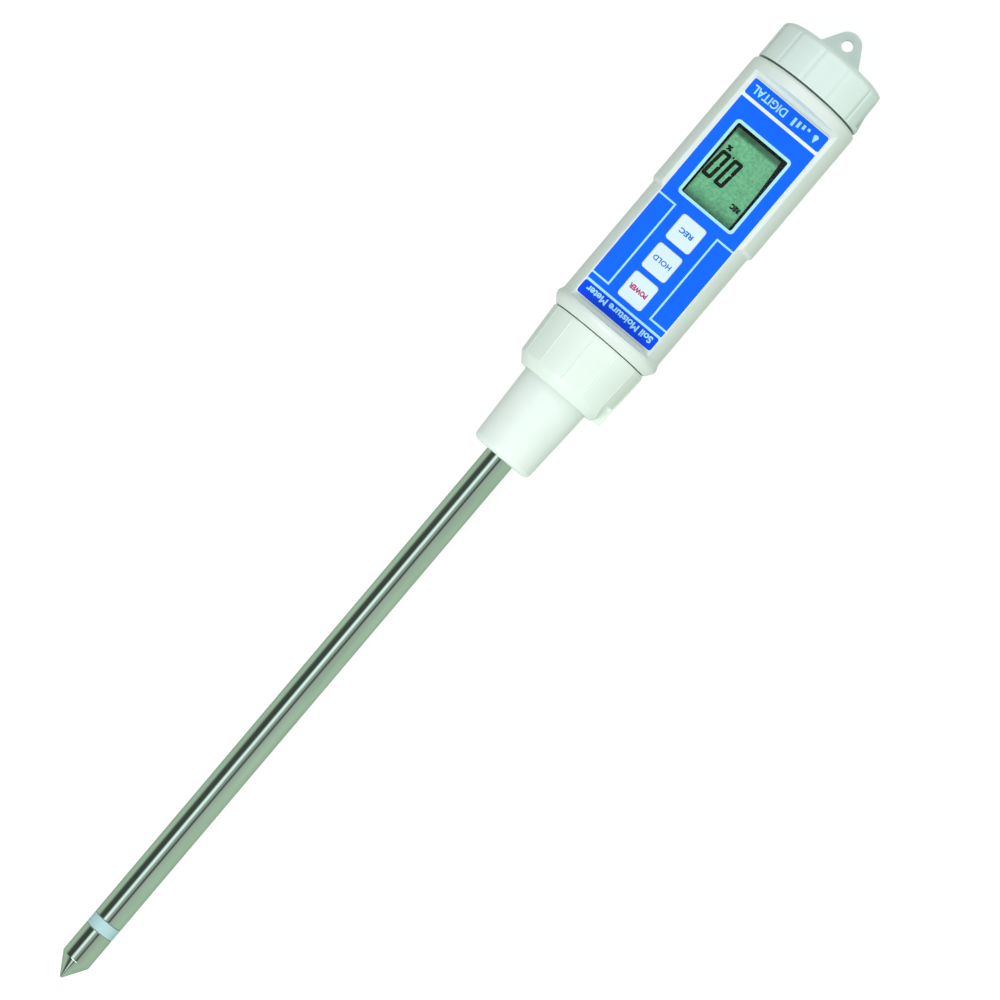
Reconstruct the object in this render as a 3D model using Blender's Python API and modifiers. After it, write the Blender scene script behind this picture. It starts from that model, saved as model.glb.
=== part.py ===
"""Pen-type soil moisture meter: a handle with a display and keys, and a long steel probe.

The meter lies on its back. X is the long axis, with the probe's tip at -X and the battery cap
at +X, and the label faces +Z. Sizes are in millimetres. A station is a distance along the axis
from the probe's tip, a height is measured from the axis, and "right" is the -Y side.
"""
import math

import bmesh
import bpy
from mathutils import Matrix

MM = 0.001
OVERALL_LENGTH = 376.0
AXIS_HEIGHT = 19.2           # the axis above the flat back, which rests on the ground
MID_STATION = OVERALL_LENGTH / 2
SIDES = 48                   # flats around a large turned piece
SMALL_SIDES = 24
GAP = 0.3                    # clearance between neighbouring pieces

# Handle
COLLAR_STATION = 254.5       # lower face of the collar, above the coupling nut
GRIP_END = 301.9
SHOULDER_STATION = 351.7     # upper face of the handle, under the battery cap
GRIP_RADIUS = 18.7
DISPLAY_RADIUS = 19.63
PLATEAU_HEIGHT = 11.2        # the flat front that carries the label
WALL = 2.0
PLATEAU_START = 259.1
PLATEAU_END = 346.6
PLATEAU_REACH = 10.0         # height of the cutter in front of the flat
PLATEAU_LEAN = 0.8           # its end walls lean out by this much over that height
OUTSIDE = 25.0               # beyond every side of the handle, for the cutters

# Screw necks of the handle, and what runs on them
PITCH = 3.5
THREAD_STEPS = 24            # straight pieces in one turn of thread
THREAD_START_ANGLE = 3.3     # keeps the pieces' ends off the corners of the turned necks
THREAD_ROOT_WIDTH = 1.3
THREAD_CREST_WIDTH = 0.8
THREAD_EMBED = 0.5           # how far a ridge reaches into what it stands on
UPPER_THREAD_CREST = 16.4
LOWER_THREAD_CREST = 14.55
CAP_THREAD_CREST = 16.05
NUT_THREAD_CREST = 14.1
UPPER_THREAD_START = 355.1
LOWER_THREAD_START = 244.4
UPPER_NECK_END = 362.3
UPPER_NECK_RADIUS = 15.6
UPPER_BORE_RADIUS = 14.4
LOWER_NECK_END = 240.4
LOWER_NECK_RADIUS = 13.7
LOWER_BORE_RADIUS = 12.0

# Battery cap
CAP_START = 352.3
CAP_END = 366.2
CAP_RADIUS = 19.2
CAP_CORNER = 2.8
CAP_BORE_RADIUS = 16.7
CAP_CEILING = 363.9
LUG_HOLE_STATION = 371.5
LUG_HOLE_RADIUS = 1.85
LUG_END_RADIUS = 4.5
LUG_FLANK_ANGLE = 31.0       # between a flank and the long axis
LUG_THICKNESS = 2.4
CAP_EDGE_ANGLE = -10         # where one edge between two flats lies, in degrees from the front
GASKET_RADII = (14.2, 16.3)
GASKET_STATIONS = (362.65, 363.6)

# Coupling nut
NUT_START = 233.7
NUT_END = 254.2
NUT_TOP_RADIUS = 17.5
NUT_LOW_RADIUS = 16.35
NUT_BORE_RADIUS = 14.9
NUT_LIP_RADIUS = 12.1
NUT_EDGE_ANGLE = -2
WASHER_RADII = (12.1, 13.5)
WASHER_STATIONS = (236.5, 237.25)
FACETS = 12
FACET_DEPTH = 0.4

# Probe
PROBE_RADIUS = 4.88
RING_START = 18.4
RING_END = 22.5
HOLDER_START = 207.4
HOLDER_END = 249.0
TUBE_END = 246.0
TUBE_BORE_RADIUS = 3.9
RING_BORE_RADIUS = 3.2
RING_SPIGOT_RADIUS = 3.6
STEM_RADIUS = 2.9            # the tip's stem inside the ring
STEM_END = 31.0
CONE_HALF_ANGLE = 32.0
NOSE_RADIUS = 0.6
HOLDER_FOOT = 2.1            # rounding of the holder's lower end
O_RING_STATION = 245.7
O_RING_RADII = (11.25, 0.42)

# Label, display and keys
LABEL_START = 260.7
LABEL_END = 345.5
LABEL_HALF_WIDTH = 14.85
LABEL_THICKNESS = 0.3
LABEL_SEAT = 0.05            # the label stands this far off the flat
WINDOW_START = 304.5
WINDOW_END = 331.5
WINDOW_HALF_WIDTH = 9.72
WINDOW_MARGIN = 0.6          # the opening in the handle is wider than the one in the label
KEY_STATIONS = {"power": 272.8, "hold": 284.0, "record": 295.25}
KEY_LENGTH = 9.5
KEY_WIDTH = 9.4
KEY_TOP = 11.95
KEY_BOTTOM = 8.4
KEY_HOLE = (10.0, 9.9)       # length and width of the openings for the keys
FLANGE = (10.7, 10.8)

# Inside the handle
BOARD_TOP = 4.6
BOARD_THICKNESS = 1.6
BOARD_START = 262.8
BOARD_END = 346.0
BOARD_HALF_WIDTH = 12.5
SCREW_STATIONS = (266.0, 342.5)
SCREW_OFFSET = 10.6
BATTERY_RADIUS = 5.2
BATTERY_LENGTH = 44.4
BATTERY_ROW = 5.9            # the two rows lie this far either side of the middle
BATTERY_HEIGHT = -4.5
BATTERY_START = 264.6
CARRIER_START = 261.0
CARRIER_END = 355.9

WHITE = (0.76, 0.80, 0.75)


# Scene and material helpers

def clear_scene():
    for obj in list(bpy.data.objects):
        bpy.data.objects.remove(obj)


def make_collection(name):
    collection = bpy.data.collections.new(name)
    bpy.context.scene.collection.children.link(collection)
    return collection


def make_material(name, colour, roughness, metallic=0.0):
    material = bpy.data.materials.new(name)
    material.use_nodes = True
    shader = material.node_tree.nodes["Principled BSDF"]
    shader.inputs["Base Color"].default_value = (*colour, 1.0)
    shader.inputs["Roughness"].default_value = roughness
    shader.inputs["Metallic"].default_value = metallic
    return material


def finish(obj, look, collection):
    """Link an object, and give it its material or make it a hidden cutter."""
    collection.objects.link(obj)
    if look is None:
        obj.hide_render = True
        obj.display_type = "WIRE"
    else:
        obj.data.materials.append(make_material(obj.name, *look))
    return obj


# Shape helpers. A look is (colour, roughness, metallic); a cutter's look is None.

def along(station):
    return (station - MID_STATION) * MM


def height(level):
    return (AXIS_HEIGHT + level) * MM


def mesh_object(name, work, look, collection, smooth=True):
    mesh = bpy.data.meshes.new(name)
    work.to_mesh(mesh)
    work.free()
    if smooth:
        mesh.shade_smooth()
        mesh.set_sharp_from_angle(angle=math.radians(35))
    return finish(bpy.data.objects.new(name, mesh), look, collection)


def place_on_axis(obj, side=0.0, level=0.0):
    """Turn local Z to the long axis, with station 0 at the probe's tip."""
    obj.rotation_euler = (0.0, math.radians(90), 0.0)
    obj.location = (along(0.0), side * MM, height(level))


def turned(name, outline, look, collection, sides=SIDES, side=0.0, level=0.0, ring=False):
    """Turn an outline of (station, radius) points, listed down its outer side."""
    work = bmesh.new()
    points = [work.verts.new((radius * MM, 0.0, station * MM)) for station, radius in outline]
    pairs = list(zip(points, points[1:]))
    if ring:
        pairs.append((points[-1], points[0]))
    for pair in pairs:
        work.edges.new(pair)
    obj = mesh_object(name, work, look, collection, smooth=False)
    screw = obj.modifiers.new("turn", "SCREW")
    screw.steps = sides
    screw.render_steps = sides
    screw.use_merge_vertices = True
    screw.merge_threshold = 0.00001
    screw.use_smooth_shade = True
    place_on_axis(obj, side, level)
    return obj


def box(name, stations, sides, levels, look, collection, rounding=0.0):
    """A block between two stations, two sideways places and two heights."""
    size = [abs(pair[1] - pair[0]) * MM for pair in (stations, sides, levels)]
    work = bmesh.new()
    bmesh.ops.create_cube(work, size=1.0, matrix=Matrix.Diagonal((*size, 1.0)))
    obj = mesh_object(name, work, look, collection, smooth=False)
    obj.location = (along(sum(stations) / 2), sum(sides) / 2 * MM, height(sum(levels) / 2))
    if rounding:
        bevel = obj.modifiers.new("rounding", "BEVEL")
        bevel.width = rounding * MM
        bevel.segments = 3
    return obj


def post(name, station, side, levels, radius, look, collection, sides=16):
    """An upright round post or hole."""
    work = bmesh.new()
    depth = abs(levels[1] - levels[0]) * MM
    bmesh.ops.create_cone(work, cap_ends=True, segments=sides, radius1=radius * MM,
                          radius2=radius * MM, depth=depth)
    obj = mesh_object(name, work, look, collection)
    obj.location = (along(station), side * MM, height(sum(levels) / 2))
    return obj


def arc(centre, radius, start, end, steps):
    """Points on an arc, with angles in degrees from the first axis of the pair."""
    points = []
    for step in range(steps + 1):
        angle = math.radians(start + (end - start) * step / steps)
        points.append((centre[0] + radius * math.cos(angle), centre[1] + radius * math.sin(angle)))
    return points


def rounded_rectangle(stations, half_width, corner, steps=3):
    low, high = stations
    outline = []
    corners = ((high - corner, half_width - corner, 0), (low + corner, half_width - corner, 90),
               (low + corner, corner - half_width, 180), (high - corner, corner - half_width, 270))
    for station, side, start in corners:
        outline += arc((station, side), corner, start, start + 90, steps)
    return outline


def plate(name, outlines, levels, look, collection):
    """A flat plate with its outline first and its holes after it."""
    curve = bpy.data.curves.new(name, "CURVE")
    curve.dimensions = "2D"
    curve.fill_mode = "BOTH"
    curve.extrude = abs(levels[1] - levels[0]) / 2 * MM
    for outline in outlines:
        spline = curve.splines.new("POLY")
        spline.points.add(len(outline) - 1)
        for point, (station, side) in zip(spline.points, outline):
            point.co = (along(station), side * MM, 0.0, 1.0)
        spline.use_cyclic_u = True
    obj = finish(bpy.data.objects.new(name, curve), look, collection)
    obj.location = (0.0, 0.0, height(sum(levels) / 2))
    return obj


def wire(name, route, radius, look, collection):
    """A round wire through (station, side, height) points."""
    curve = bpy.data.curves.new(name, "CURVE")
    curve.dimensions = "3D"
    curve.bevel_depth = radius * MM
    curve.bevel_resolution = 1
    curve.use_fill_caps = True
    spline = curve.splines.new("POLY")
    spline.points.add(len(route) - 1)
    for point, (station, side, level) in zip(spline.points, route):
        point.co = (along(station), side * MM, height(level), 1.0)
    return finish(bpy.data.objects.new(name, curve), look, collection)


def as_mesh(obj, collection):
    """Replace a curve by its own closed mesh, so that it can be cut or joined."""
    bpy.context.view_layer.update()
    evaluated = obj.evaluated_get(bpy.context.evaluated_depsgraph_get())
    mesh = bpy.data.meshes.new_from_object(evaluated)
    work = bmesh.new()
    work.from_mesh(mesh)
    bmesh.ops.remove_doubles(work, verts=work.verts, dist=0.000001)
    work.to_mesh(mesh)
    work.free()
    name = obj.name
    matrix = obj.matrix_world.copy()
    bpy.data.objects.remove(obj)
    solid = bpy.data.objects.new(name, mesh)
    solid.matrix_world = matrix
    collection.objects.link(solid)
    solid.hide_render = True
    solid.display_type = "WIRE"
    return solid


def combine(target, tool, operation):
    """Cut a piece by a tool, join the tool to it, or keep what they share."""
    boolean = target.modifiers.new(tool.name, "BOOLEAN")
    boolean.operation = operation
    boolean.solver = "EXACT"
    boolean.object = tool


def thread(name, first_station, turns, root, crest, collection):
    """A right-hand ridge: a trapezium swept along a helix, reaching from root to crest."""
    work = bmesh.new()
    corners = ((root, -THREAD_ROOT_WIDTH / 2), (crest, -THREAD_CREST_WIDTH / 2),
               (crest, THREAD_CREST_WIDTH / 2), (root, THREAD_ROOT_WIDTH / 2))
    section = [work.verts.new((radius * MM, 0.0, (first_station + offset) * MM))
               for radius, offset in corners]
    face = work.faces.new(section)
    steps = round(turns * THREAD_STEPS)
    bmesh.ops.spin(work, geom=[face] + list(face.edges) + section, cent=(0.0, 0.0, 0.0),
                   axis=(0.0, 0.0, 1.0), dvec=(0.0, 0.0, PITCH / THREAD_STEPS * MM),
                   angle=math.radians(360.0 * turns), steps=steps, use_duplicate=False)
    bmesh.ops.remove_doubles(work, verts=work.verts, dist=0.000001)
    bmesh.ops.recalc_face_normals(work, faces=work.faces)
    start = Matrix.Rotation(math.radians(THREAD_START_ANGLE), 3, "Z")
    bmesh.ops.rotate(work, verts=work.verts, matrix=start)
    obj = mesh_object(name, work, None, collection, smooth=False)
    place_on_axis(obj)
    return obj


def facet_block(name, stations, radii, first_edge, collection):
    """A tapered block with twelve flats, and an edge at first_edge degrees from the front."""
    work = bmesh.new()
    reach = 1.0 / math.cos(math.pi / FACETS)
    low, high = stations
    bmesh.ops.create_cone(work, cap_ends=True, segments=FACETS, radius1=radii[0] * reach * MM,
                          radius2=radii[1] * reach * MM, depth=(high - low) * MM)
    bmesh.ops.rotate(work, verts=work.verts, matrix=Matrix.Rotation(math.radians(first_edge), 3, "Z"))
    bmesh.ops.translate(work, verts=work.verts, vec=(0.0, 0.0, (low + high) / 2 * MM))
    obj = mesh_object(name, work, None, collection, smooth=False)
    place_on_axis(obj)
    return obj


# Handle

def handle_blank(parts):
    outline = [(UPPER_NECK_END, 0.0), (UPPER_NECK_END, UPPER_NECK_RADIUS - 0.4),
               (UPPER_NECK_END - 0.4, UPPER_NECK_RADIUS), (SHOULDER_STATION, UPPER_NECK_RADIUS),
               (SHOULDER_STATION, 18.7), (351.3, 19.14), (350.4, DISPLAY_RADIUS),
               (303.1, DISPLAY_RADIUS), (GRIP_END, GRIP_RADIUS), (260.0, GRIP_RADIUS)]
    outline += [(259.4, 19.1), (257.9, 19.45), (256.6, 19.1), (COLLAR_STATION, 17.4)]
    outline += [(COLLAR_STATION, LOWER_NECK_RADIUS), (242.6, LOWER_NECK_RADIUS), (242.2, 13.4),
                (LOWER_NECK_END, 13.4), (LOWER_NECK_END, 0.0)]
    return turned("housing", outline, (WHITE, 0.42), parts)


def plateau_cutter(tools):
    """Everything in front of the flat front, with its two end walls leaning outwards."""
    work = bmesh.new()
    bmesh.ops.create_cube(work, size=1.0)
    for vert in work.verts:
        top = vert.co.z > 0
        station = PLATEAU_END if vert.co.x > 0 else PLATEAU_START
        if top:
            station += PLATEAU_LEAN if vert.co.x > 0 else -PLATEAU_LEAN
        level = PLATEAU_HEIGHT + (PLATEAU_REACH if top else 0.0)
        vert.co = (along(station), 2 * OUTSIDE * MM * vert.co.y, height(level))
    return mesh_object("plateau_cutter", work, None, tools, smooth=False)


def cavity_cutter(tools):
    """The hollow of the handle, open through both necks and flat behind the front wall."""
    inner = DISPLAY_RADIUS - WALL
    grip_inner = GRIP_RADIUS - WALL
    outline = [(UPPER_NECK_END + 1, 0.0), (UPPER_NECK_END + 1, UPPER_BORE_RADIUS),
               (350.6, UPPER_BORE_RADIUS), (349.0, inner), (305.0, inner), (303.8, grip_inner),
               (262.5, grip_inner), (258.0, LOWER_BORE_RADIUS),
               (LOWER_NECK_END - 1, LOWER_BORE_RADIUS), (LOWER_NECK_END - 1, 0.0)]
    cavity = turned("cavity_cutter", outline, None, tools)
    front = PLATEAU_HEIGHT - WALL
    block = box("front_wall_block", (257.6, 349.9), (-OUTSIDE, OUTSIDE), (front, OUTSIDE), None, tools)
    combine(cavity, block, "DIFFERENCE")
    return cavity


def make_housing(parts, tools):
    housing = handle_blank(parts)
    combine(housing, plateau_cutter(tools), "DIFFERENCE")
    back = box("flat_back_cutter", (245, 356), (-OUTSIDE, OUTSIDE), (-OUTSIDE, -AXIS_HEIGHT), None, tools)
    combine(housing, back, "DIFFERENCE")
    combine(housing, cavity_cutter(tools), "DIFFERENCE")
    half = WINDOW_HALF_WIDTH + WINDOW_MARGIN
    through = (PLATEAU_HEIGHT - 2 * WALL, PLATEAU_HEIGHT + WALL)
    window = box("window_cutter", (WINDOW_START - WINDOW_MARGIN, WINDOW_END + WINDOW_MARGIN),
                 (-half, half), through, None, tools)
    combine(housing, window, "DIFFERENCE")
    length, width = KEY_HOLE
    for name, station in KEY_STATIONS.items():
        hole = box(name + "_key_cutter", (station - length / 2, station + length / 2),
                   (-width / 2, width / 2), through, None, tools)
        combine(housing, hole, "DIFFERENCE")
    upper = thread("upper_neck_thread", UPPER_THREAD_START, 1.5, UPPER_NECK_RADIUS - THREAD_EMBED,
                   UPPER_THREAD_CREST, tools)
    lower = thread("lower_neck_thread", LOWER_THREAD_START, 1.5, LOWER_NECK_RADIUS - THREAD_EMBED,
                   LOWER_THREAD_CREST, tools)
    combine(housing, upper, "UNION")
    combine(housing, lower, "UNION")


# Battery cap, its gasket, the coupling nut and its slip washer

def cap_outline():
    outline = [(CAP_END, 0.0)]
    for station, radius in arc((CAP_END - CAP_CORNER, CAP_RADIUS - CAP_CORNER), CAP_CORNER, 0, 90, 4):
        outline.append((station, radius))
    outline += [(CAP_START + 0.3, CAP_RADIUS + 0.05), (CAP_START, CAP_RADIUS - 0.25)]
    outline.append((CAP_START, 0.0))
    return outline


def lug_outline():
    """A round end on straight flanks that spread towards the cap, rooted inside its top."""
    lean = math.radians(LUG_FLANK_ANGLE)
    end = arc((LUG_HOLE_STATION, 0.0), LUG_END_RADIUS, math.degrees(lean) - 90, 90 - math.degrees(lean), 8)
    root = CAP_END - 1.0
    half_root = end[-1][1] + (end[-1][0] - root) * math.tan(lean)
    return end + [(root, half_root), (root, -half_root)]


def add_rib(target, name, outline, levels, tools):
    """A thin upright grip rib on the right side."""
    rib = plate(name, [outline], levels, None, tools)
    combine(target, as_mesh(rib, tools), "UNION")


def make_battery_cap(parts, tools):
    cap = turned("battery_cap", cap_outline(), (WHITE, 0.45), parts)
    flats = facet_block("cap_facets", (CAP_START - 2, CAP_END + 2),
                        (CAP_RADIUS - FACET_DEPTH,) * 2, CAP_EDGE_ANGLE, tools)
    combine(cap, flats, "INTERSECT")
    recess = box("cap_recess", (CAP_START + 1.4, CAP_END + 2), (-OUTSIDE, -17.75), (-7.5, 9.0), None,
                 tools)
    combine(cap, recess, "DIFFERENCE")
    rib = [(363.0, -17.2), (363.0, -17.9), (358.5, -18.1), (353.6, -19.05), (352.9, -19.05),
           (352.9, -17.2)]
    add_rib(cap, "cap_rib", rib, (-2.0, -0.8), tools)
    hole = arc((LUG_HOLE_STATION, 0.0), LUG_HOLE_RADIUS, 0, 345, 23)
    lug = plate("cap_lug", [lug_outline(), hole], (-LUG_THICKNESS / 2, LUG_THICKNESS / 2), None, tools)
    combine(cap, as_mesh(lug, tools), "UNION")
    bore = turned("cap_bore", [(CAP_CEILING, 0.0), (CAP_CEILING, CAP_BORE_RADIUS),
                               (CAP_START - 1, CAP_BORE_RADIUS), (CAP_START - 1, 0.0)], None, tools)
    combine(cap, bore, "DIFFERENCE")
    ridge = thread("cap_thread", UPPER_THREAD_START - PITCH / 2, 1.0, CAP_BORE_RADIUS + THREAD_EMBED,
                   CAP_THREAD_CREST, tools)
    combine(cap, ridge, "UNION")


def ring_outline(stations, radii):
    """A flat ring's section."""
    (low, high), (inner, outer) = stations, radii
    return [(high, inner), (high, outer), (low, outer), (low, inner)]


def make_cap_gasket(parts):
    outline = ring_outline(GASKET_STATIONS, GASKET_RADII)
    turned("cap_gasket", outline, ((0.03, 0.03, 0.03), 0.8), parts, sides=32, ring=True)


def make_coupling_nut(parts, tools):
    outline = [(NUT_END, 0.0), (NUT_END, NUT_TOP_RADIUS - 0.4), (NUT_END - 0.4, NUT_TOP_RADIUS),
               (237.1, NUT_LOW_RADIUS), (NUT_START, 13.7), (NUT_START, 0.0)]
    nut = turned("coupling_nut", outline, (WHITE, 0.45), parts)
    flats = facet_block("nut_facets", (NUT_START - 2, NUT_END + 2),
                        (NUT_LOW_RADIUS - 0.28 - FACET_DEPTH, NUT_TOP_RADIUS + 0.14 - FACET_DEPTH),
                        NUT_EDGE_ANGLE, tools)
    combine(nut, flats, "INTERSECT")
    notch = box("nut_notch", (228.0, 240.6), (-OUTSIDE, -14.6), (-0.9, 9.5), None, tools, rounding=1.6)
    combine(nut, notch, "DIFFERENCE")
    rib = [(253.6, -15.6), (253.6, -17.55), (234.4, -16.9), (234.1, -16.6), (234.1, -12.6),
           (240.0, -15.4)]
    add_rib(nut, "nut_rib", rib, (-2.3, -1.0), tools)
    bore = turned("nut_bore", [(NUT_END + 1, 0.0), (NUT_END + 1, NUT_BORE_RADIUS),
                               (241.6, NUT_BORE_RADIUS), (241.6, 13.9), (236.2, 13.9),
                               (236.2, NUT_LIP_RADIUS), (NUT_START - 1, NUT_LIP_RADIUS),
                               (NUT_START - 1, 0.0)], None, tools)
    combine(nut, bore, "DIFFERENCE")
    ridge = thread("nut_thread", LOWER_THREAD_START + PITCH / 2, 1.0, NUT_BORE_RADIUS + THREAD_EMBED,
                   NUT_THREAD_CREST, tools)
    combine(nut, ridge, "UNION")


def make_slip_washer(parts):
    outline = ring_outline(WASHER_STATIONS, WASHER_RADII)
    turned("slip_washer", outline, ((0.55, 0.55, 0.52), 0.4), parts, sides=32, ring=True)


# Probe

def make_probe_holder(parts):
    outline = [(HOLDER_END, 3.0), (HOLDER_END, 11.2), (HOLDER_END - 0.4, 11.6), (246.4, 11.6),
               (246.4, 10.6), (245.0, 10.6), (245.0, 11.6), (240.05, 11.6), (240.05, 13.5),
               (237.55, 13.5), (237.55, 11.7), (NUT_START, 11.7)]
    outline += arc((HOLDER_START + HOLDER_FOOT, 10.62 - HOLDER_FOOT), HOLDER_FOOT, 90, 180, 4)
    outline += [(HOLDER_START, PROBE_RADIUS + GAP), (TUBE_END + GAP, PROBE_RADIUS + GAP),
                (TUBE_END + GAP, 3.0)]
    turned("probe_holder", outline, ((0.83, 0.88, 0.84), 0.38), parts, ring=True, sides=40)


def tip_outline():
    """A stem, a round head, and a cone with a small round nose."""
    lean = math.radians(CONE_HALF_ANGLE)
    base = PROBE_RADIUS / math.tan(lean) - NOSE_RADIUS / math.sin(lean) + NOSE_RADIUS
    outline = [(STEM_END, 0.0), (STEM_END, STEM_RADIUS), (RING_START, STEM_RADIUS),
               (RING_START, PROBE_RADIUS), (base, PROBE_RADIUS)]
    nose = arc((NOSE_RADIUS, 0.0), NOSE_RADIUS, 90 + CONE_HALF_ANGLE, 180, 3)
    return outline + nose[:-1] + [(0.0, 0.0)]


def make_probe(parts):
    steel = ((0.55, 0.58, 0.53), 0.22, 1.0)
    tube = ring_outline((RING_END + 0.1, TUBE_END), (TUBE_BORE_RADIUS, PROBE_RADIUS))
    turned("probe_tube", tube, steel, parts, sides=32, ring=True)
    ring = [(29.0, RING_BORE_RADIUS), (29.0, RING_SPIGOT_RADIUS), (RING_END, RING_SPIGOT_RADIUS),
            (RING_END, PROBE_RADIUS), (RING_START + 0.1, PROBE_RADIUS), (RING_START + 0.1, RING_BORE_RADIUS)]
    turned("insulator_ring", ring, ((0.85, 0.88, 0.88), 0.5), parts, sides=32, ring=True)
    turned("probe_tip", tip_outline(), ((0.50, 0.52, 0.47), 0.28, 1.0), parts, sides=32)


def make_o_ring(parts):
    ring_radius, section_radius = O_RING_RADII
    bpy.ops.mesh.primitive_torus_add(major_segments=32, minor_segments=8,
                                     major_radius=ring_radius * MM, minor_radius=section_radius * MM)
    obj = bpy.context.object
    obj.name = "probe_o_ring"
    for holder in list(obj.users_collection):
        holder.objects.unlink(obj)
    obj.data.shade_smooth()
    place_on_axis(obj)
    obj.location.x = along(O_RING_STATION)
    finish(obj, ((0.02, 0.02, 0.02), 0.7), parts)


def make_leads(parts):
    """Two leads from the probe to the board, and two from the battery contacts."""
    tip_route = [(31.4, 0, 0), (120, 0, 0), (244, 0, 0), (252, 0.6, 0), (257, 2.0, 2.2),
                 (260.2, 3.0, 3.8), (262.4, 3.0, 3.8)]
    wire("tip_lead", tip_route, 0.7, ((0.6, 0.05, 0.04), 0.5), parts)
    tube_route = [(246.6, -2.4, 0), (252, -2.4, 0.2), (257, -2.8, 2.2), (260.2, -3.0, 3.8),
                  (262.4, -3.0, 3.8)]
    wire("tube_lead", tube_route, 0.55, ((0.04, 0.04, 0.05), 0.5), parts)
    for name, side, colour in (("positive_lead", 8.2, (0.6, 0.05, 0.04)),
                               ("negative_lead", -8.2, (0.04, 0.04, 0.05))):
        route = [(260.6, side, -2.6), (259.8, side, -1.6), (259.6, side, 2.6), (260.4, side, 3.8),
                 (262.4, side, 3.8)]
        wire(name, route, 0.5, (colour, 0.5), parts)


# Label, display and keys

def make_label(parts):
    outline = rounded_rectangle((LABEL_START, LABEL_END), LABEL_HALF_WIDTH, 0.8)
    holes = [rounded_rectangle((WINDOW_START, WINDOW_END), WINDOW_HALF_WIDTH, 0.5)]
    for station in KEY_STATIONS.values():
        holes.append(rounded_rectangle((station - 4.95, station + 4.95), 4.9, 0.8))
    base = PLATEAU_HEIGHT + LABEL_SEAT
    plate("label_overlay", [outline] + holes, (base, base + LABEL_THICKNESS), ((0.02, 0.13, 0.9), 0.35),
          parts)


def make_display(parts):
    pane_side = WINDOW_HALF_WIDTH + 0.3
    box("display_window", (WINDOW_START - 0.3, WINDOW_END + 0.3), (-pane_side, pane_side), (9.3, 10.3),
        ((0.9, 0.95, 0.93), 0.05), parts)
    box("display_glass", (302.2, 334.6), (-11.2, 11.2), (7.3, 8.9), ((0.33, 0.42, 0.33), 0.2), parts)
    box("display_reflector", (303.0, 333.8), (-10.6, 10.6), (6.75, 7.0), ((0.5, 0.55, 0.5), 0.4), parts)
    outline = rounded_rectangle((301.4, 335.4), 11.8, 0.6, 1)
    opening = rounded_rectangle((302.6, 334.2), 10.6, 0.4, 1)
    plate("display_holder", [outline, opening], (4.9, 6.45), ((0.1, 0.1, 0.1), 0.6), parts)
    for name, station in (("lower_zebra_strip", 304.2), ("upper_zebra_strip", 332.6)):
        box(name, (station - 1.0, station + 1.0), (-10.0, 10.0), (4.9, 6.45), ((0.7, 0.25, 0.45), 0.6),
            parts)


def make_key(name, station, parts, tools):
    """A key cap with its retaining flange, the switch plunger and the switch below it."""
    half_length, half_width = KEY_LENGTH / 2, KEY_WIDTH / 2
    key = box(name + "_button", (station - half_length, station + half_length),
              (-half_width, half_width), (KEY_BOTTOM, KEY_TOP), ((0.68, 0.80, 0.90), 0.4), parts,
              rounding=0.45)
    half_length, half_width = FLANGE[0] / 2, FLANGE[1] / 2
    flange = box(name + "_flange", (station - half_length, station + half_length),
                 (-half_width, half_width), (KEY_BOTTOM - 0.4, KEY_BOTTOM + 0.4), None, tools)
    combine(key, flange, "UNION")
    post(name + "_plunger", station, 0.0, (6.0, 7.7), 1.5, ((0.05, 0.05, 0.05), 0.5), parts, sides=12)
    switch = box(name + "_switch", (station - 3, station + 3), (-3, 3), (4.9, 7.1),
                 ((0.08, 0.08, 0.08), 0.5), parts)
    well = post(name + "_well", station, 0.0, (5.2, 7.6), 1.9, None, tools, sides=12)
    combine(switch, well, "DIFFERENCE")


# Board, carrier and batteries

def circle_outline(station, side, radius, steps=12):
    return arc((station, side), radius, 0, 360 - 360 / steps, steps - 1)


def screw_places():
    return [(station, side) for station in SCREW_STATIONS for side in (-SCREW_OFFSET, SCREW_OFFSET)]


def make_board(parts, tools):
    outline = rounded_rectangle((BOARD_START, BOARD_END), BOARD_HALF_WIDTH, 0.8, 1)
    holes = [circle_outline(station, side, 1.35) for station, side in screw_places()]
    plate("main_board", [outline] + holes, (BOARD_TOP - BOARD_THICKNESS, BOARD_TOP),
          ((0.03, 0.22, 0.08), 0.5), parts)
    for index, (station, side) in enumerate(screw_places(), start=1):
        screw = post("board_screw_%d" % index, station, side, (4.9, 6.0), 1.9,
                     ((0.6, 0.6, 0.6), 0.3, 1.0), parts)
        combine(screw, post("board_shank_%d" % index, station, side, (0.9, 5.2), 0.95, None, tools,
                            sides=12), "UNION")
    black = ((0.03, 0.03, 0.03), 0.5)
    seat = BOARD_TOP + 0.15
    box("microcontroller", (314, 322), (-4, 4), (seat, 5.9), black, parts)
    box("amplifier_chip", (281.5, 286.5), (6.9, 10.9), (seat, 6.2), black, parts)
    box("quartz_crystal", (337.4, 340.4), (-4, 4), (seat, 7.4), ((0.7, 0.7, 0.7), 0.25, 1.0), parts,
        rounding=0.5)
    box("calibration_trimmer", (291.5, 297.5), (-11.4, -6.4), (seat, 7.2), ((0.03, 0.1, 0.5), 0.5), parts)


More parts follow.
